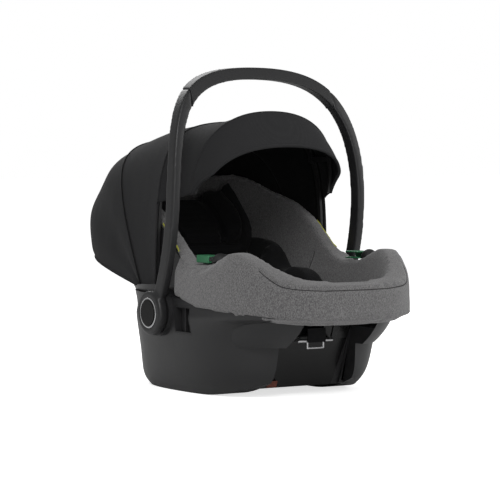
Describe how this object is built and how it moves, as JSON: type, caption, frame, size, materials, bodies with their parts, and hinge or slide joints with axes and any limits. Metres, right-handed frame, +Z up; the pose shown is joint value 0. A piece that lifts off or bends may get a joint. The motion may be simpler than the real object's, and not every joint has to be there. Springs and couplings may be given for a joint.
{
  "type": "infant car seat",
  "caption": "Rear-facing infant car seat with a carry handle that swings back, a folding hood with a tilting visor, a sliding headrest, a newborn insert and a three-point harness.",
  "frame": {"origin": "on the floor, midway along the whole length and in the plane of symmetry", "axes": "+X across the seat to the child's left as seen from the feet end, -Y towards the feet, +Z up"},
  "size_m": [0.4328, 0.7098, 0.5835],
  "materials": {
    "shell_plastic": "fine moulded grain",
    "handle_plastic": "satin",
    "grip_rubber": "matt",
    "foam": "foam beads",
    "bow_plastic": "satin",
    "canopy_fabric": "woven",
    "rim_melange": "melange knit",
    "lining_fabric": "knit",
    "insert_fabric": "soft knit",
    "pad_fabric": "woven",
    "webbing": "webbing",
    "green_plastic": "satin",
    "lime_binding": "woven tape",
    "chrome_ring": "bright",
    "steel": "brushed",
    "button_plastic": "gloss",
    "lever_plastic": "satin silver",
    "red_plastic": "gloss",
    "brown_plastic": "satin",
    "panel_plastic": "satin"
  },
  "bodies": {
    "shell": {"outer_shell": "shell_plastic", "foam_liner": "foam", "seat_cover": "rim_melange", "rim_cover": "rim_melange", "hood_rear_skin": "canopy_fabric", "infant_insert": "insert_fabric", "buckle_housing": "button_plastic", "crotch_strap": "webbing", "crotch_pad": "pad_fabric", "adjuster_housing": "button_plastic", "adjuster_strap": "webbing", "dock_bar": "steel", "recess_panel": "panel_plastic", "lock_tab": "brown_plastic", "lock_bar_front": "steel", "lock_bar_back": "steel", "wing_binding_left": "lime_binding", "adapter_socket_left": "shell_plastic", "belt_guide_left": "green_plastic", "guide_hump_left": "bow_plastic", "pivot_pin_left": "steel", "shoulder_strap_left": "webbing", "shoulder_pad_left": "pad_fabric", "lap_strap_left": "webbing", "buckle_tongue_left": "button_plastic", "wing_binding_right": "lime_binding", "adapter_socket_right": "shell_plastic", "belt_guide_right": "green_plastic", "guide_hump_right": "bow_plastic", "pivot_pin_right": "steel", "shoulder_strap_right": "webbing", "shoulder_pad_right": "pad_fabric", "lap_strap_right": "webbing", "buckle_tongue_right": "button_plastic"},
    "handle": {"handle_frame": "handle_plastic", "handle_grip": "grip_rubber", "hub_ring_left": "chrome_ring", "hub_ring_right": "chrome_ring"},
    "hub_button_left_body": {"hub_button_left": "button_plastic"},
    "hub_button_right_body": {"hub_button_right": "button_plastic"},
    "release_lever_left_body": {"release_lever_left": "lever_plastic"},
    "release_lever_right_body": {"release_lever_right": "lever_plastic"},
    "hood": {"main_bow": "bow_plastic", "hood_main_skin": "canopy_fabric", "hood_front_skin": "canopy_fabric"},
    "visor": {"visor_bow": "bow_plastic", "visor_skin": "canopy_fabric"},
    "headrest": {"headrest_shell": "bow_plastic", "headrest_pad": "pad_fabric", "head_pillow": "insert_fabric"},
    "buckle_button_body": {"buckle_button": "red_plastic"},
    "adjuster_button_body": {"adjuster_button": "red_plastic"}
  },
  "joints": [
    {"name": "handle_swing", "type": "hinge", "parent": "shell", "child": "handle", "pos_m": [0, -0.004, 0.142], "axis": [-1, 0, 0], "range_deg": [0, 100]},
    {"name": "hood_fold", "type": "hinge", "parent": "shell", "child": "hood", "pos_m": [0, 0.016, 0.2], "axis": [-1, 0, 0], "range_deg": [0, 35], "deforming": ["hood_main_skin"]},
    {"name": "visor_tilt", "type": "hinge", "parent": "hood", "child": "visor", "pos_m": [0, 0.004, 0.415], "axis": [-1, 0, 0], "range_deg": [0, 30], "deforming": ["hood_front_skin"]},
    {"name": "headrest_slide", "type": "slide", "parent": "shell", "child": "headrest", "axis": [0, 0.7771, 0.6293], "range_m": [-0.045, 0.01]},
    {"name": "buckle_press", "type": "slide", "parent": "shell", "child": "buckle_button_body", "axis": [0, 0, -1], "range_m": [0, 0.003], "stiffness_N_per_m": 1500, "springref_m": -0.002},
    {"name": "adjuster_press", "type": "slide", "parent": "shell", "child": "adjuster_button_body", "axis": [0, 0, -1], "range_m": [0, 0.003], "stiffness_N_per_m": 1500, "springref_m": -0.002},
    {"name": "hub_press_left", "type": "slide", "parent": "handle", "child": "hub_button_left_body", "axis": [-1, 0, 0], "range_m": [0, 0.003], "stiffness_N_per_m": 1500, "springref_m": -0.002},
    {"name": "lever_press_left", "type": "slide", "parent": "shell", "child": "release_lever_left_body", "axis": [-1, 0, 0], "range_m": [0, 0.003], "stiffness_N_per_m": 1500, "springref_m": -0.002},
    {"name": "hub_press_right", "type": "slide", "parent": "handle", "child": "hub_button_right_body", "axis": [1, 0, 0], "range_m": [0, 0.003], "stiffness_N_per_m": 1500, "springref_m": -0.002},
    {"name": "lever_press_right", "type": "slide", "parent": "shell", "child": "release_lever_right_body", "axis": [1, 0, 0], "range_m": [0, 0.003], "stiffness_N_per_m": 1500, "springref_m": -0.002}
  ]
}
